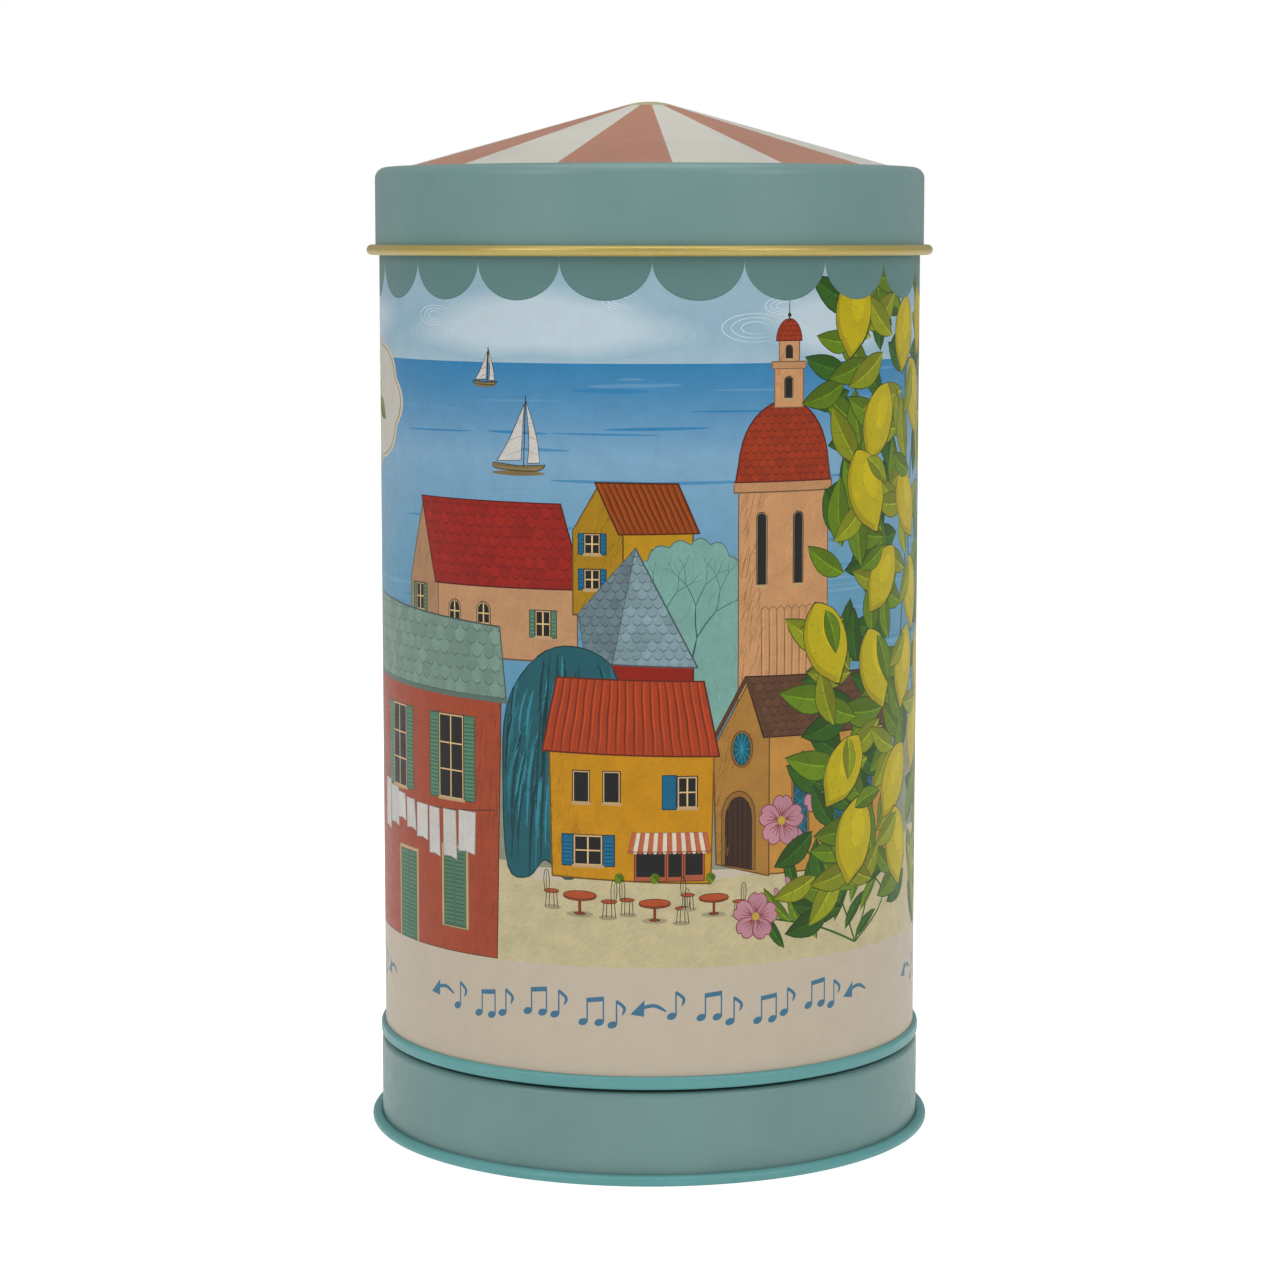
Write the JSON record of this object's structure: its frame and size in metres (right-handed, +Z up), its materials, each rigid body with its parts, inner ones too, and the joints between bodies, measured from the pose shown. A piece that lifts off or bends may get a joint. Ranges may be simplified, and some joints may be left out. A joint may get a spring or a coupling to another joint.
{
  "type": "musical biscuit tin",
  "caption": "Round printed tin with a lift-off conical lid, standing on a low turning base that holds a wind-up comb movement.",
  "frame": {"origin": "on the floor, at the middle of the base", "axes": "+Z up along the tin's axis, -Y towards the front of the print"},
  "size_m": [0.1126, 0.1126, 0.2041],
  "materials": {
    "lid_print": "satin printed tinplate, teal skirt and striped roof",
    "body_print": "satin printed tinplate, seaside village wrap",
    "seam_print": "gloss teal lacquer",
    "base_print": "satin teal lacquer",
    "cover_plastic": "moulded, fine texture",
    "nylon": "natural nylon",
    "zinc": "die-cast, dull",
    "brass": "turned brass",
    "steel": "bright steel",
    "spring_steel": "blued spring steel",
    "plated_steel": "zinc plated",
    "fan_plastic": "thin moulded plastic"
  },
  "bodies": {
    "base": {"base_shell": "base_print", "base_cover": "cover_plastic", "thrust_washer": "nylon", "bedplate": "zinc", "spring_housing": "plated_steel", "spring_cover": "plated_steel", "mainspring": "spring_steel", "comb": "steel", "inner_bracket": "plated_steel", "outer_bracket": "plated_steel", "governor_frame": "plated_steel", "endstone": "brass", "movement_screws": "plated_steel", "comb_screws": "steel", "housing_screws": "plated_steel", "bracket_screws": "plated_steel"},
    "canister": {"body_wall": "body_print", "body_bottom": "seam_print", "coupling_hub": "zinc", "hub_rivets": "plated_steel", "winding_arbor": "steel", "arbor_clip": "spring_steel", "click_spring": "spring_steel"},
    "lid": {"lid": "lid_print"},
    "drive_wheel": {"drive_wheel": "brass"},
    "note_cylinder": {"cylinder_tube": "brass", "cylinder_caps": "brass", "cylinder_shaft": "steel", "note_pins": "steel", "cylinder_pinion": "brass", "cylinder_gear": "brass"},
    "governor_wheel": {"governor_shaft": "steel", "governor_pinion": "brass", "worm_wheel": "brass"},
    "fly": {"worm_spindle": "steel", "fan": "fan_plastic"}
  },
  "joints": [
    {"name": "tin_turn", "type": "hinge", "parent": "base", "child": "canister", "pos_m": [0, 0, 0.0204], "axis": [0, 0, 1], "range_deg": [0, 1080]},
    {"name": "lid_lift", "type": "slide", "parent": "canister", "child": "lid", "axis": [0, 0, 1], "range_m": [0, 0.06]},
    {"name": "wheel_turn", "type": "hinge", "parent": "base", "child": "drive_wheel", "pos_m": [0, 0, 0.0166], "axis": [0, 0, 1], "continuous": true},
    {"name": "cylinder_turn", "type": "hinge", "parent": "base", "child": "note_cylinder", "pos_m": [0.0144, 0, 0.01242], "axis": [1, 0, 0], "continuous": true},
    {"name": "governor_turn", "type": "hinge", "parent": "base", "child": "governor_wheel", "pos_m": [0.0386, -0.0057, 0.01242], "axis": [1, 0, 0], "continuous": true},
    {"name": "fly_turn", "type": "hinge", "parent": "base", "child": "fly", "pos_m": [0.0406, -0.01035, 0.017], "axis": [0, 0, 1], "continuous": true}
  ],
  "couplings": [
    {"joint": "wheel_turn", "follows": "tin_turn", "ratio": 1},
    {"joint": "cylinder_turn", "follows": "tin_turn", "ratio": -4},
    {"joint": "governor_turn", "follows": "tin_turn", "ratio": 15},
    {"joint": "fly_turn", "follows": "tin_turn", "ratio": 360}
  ]
}
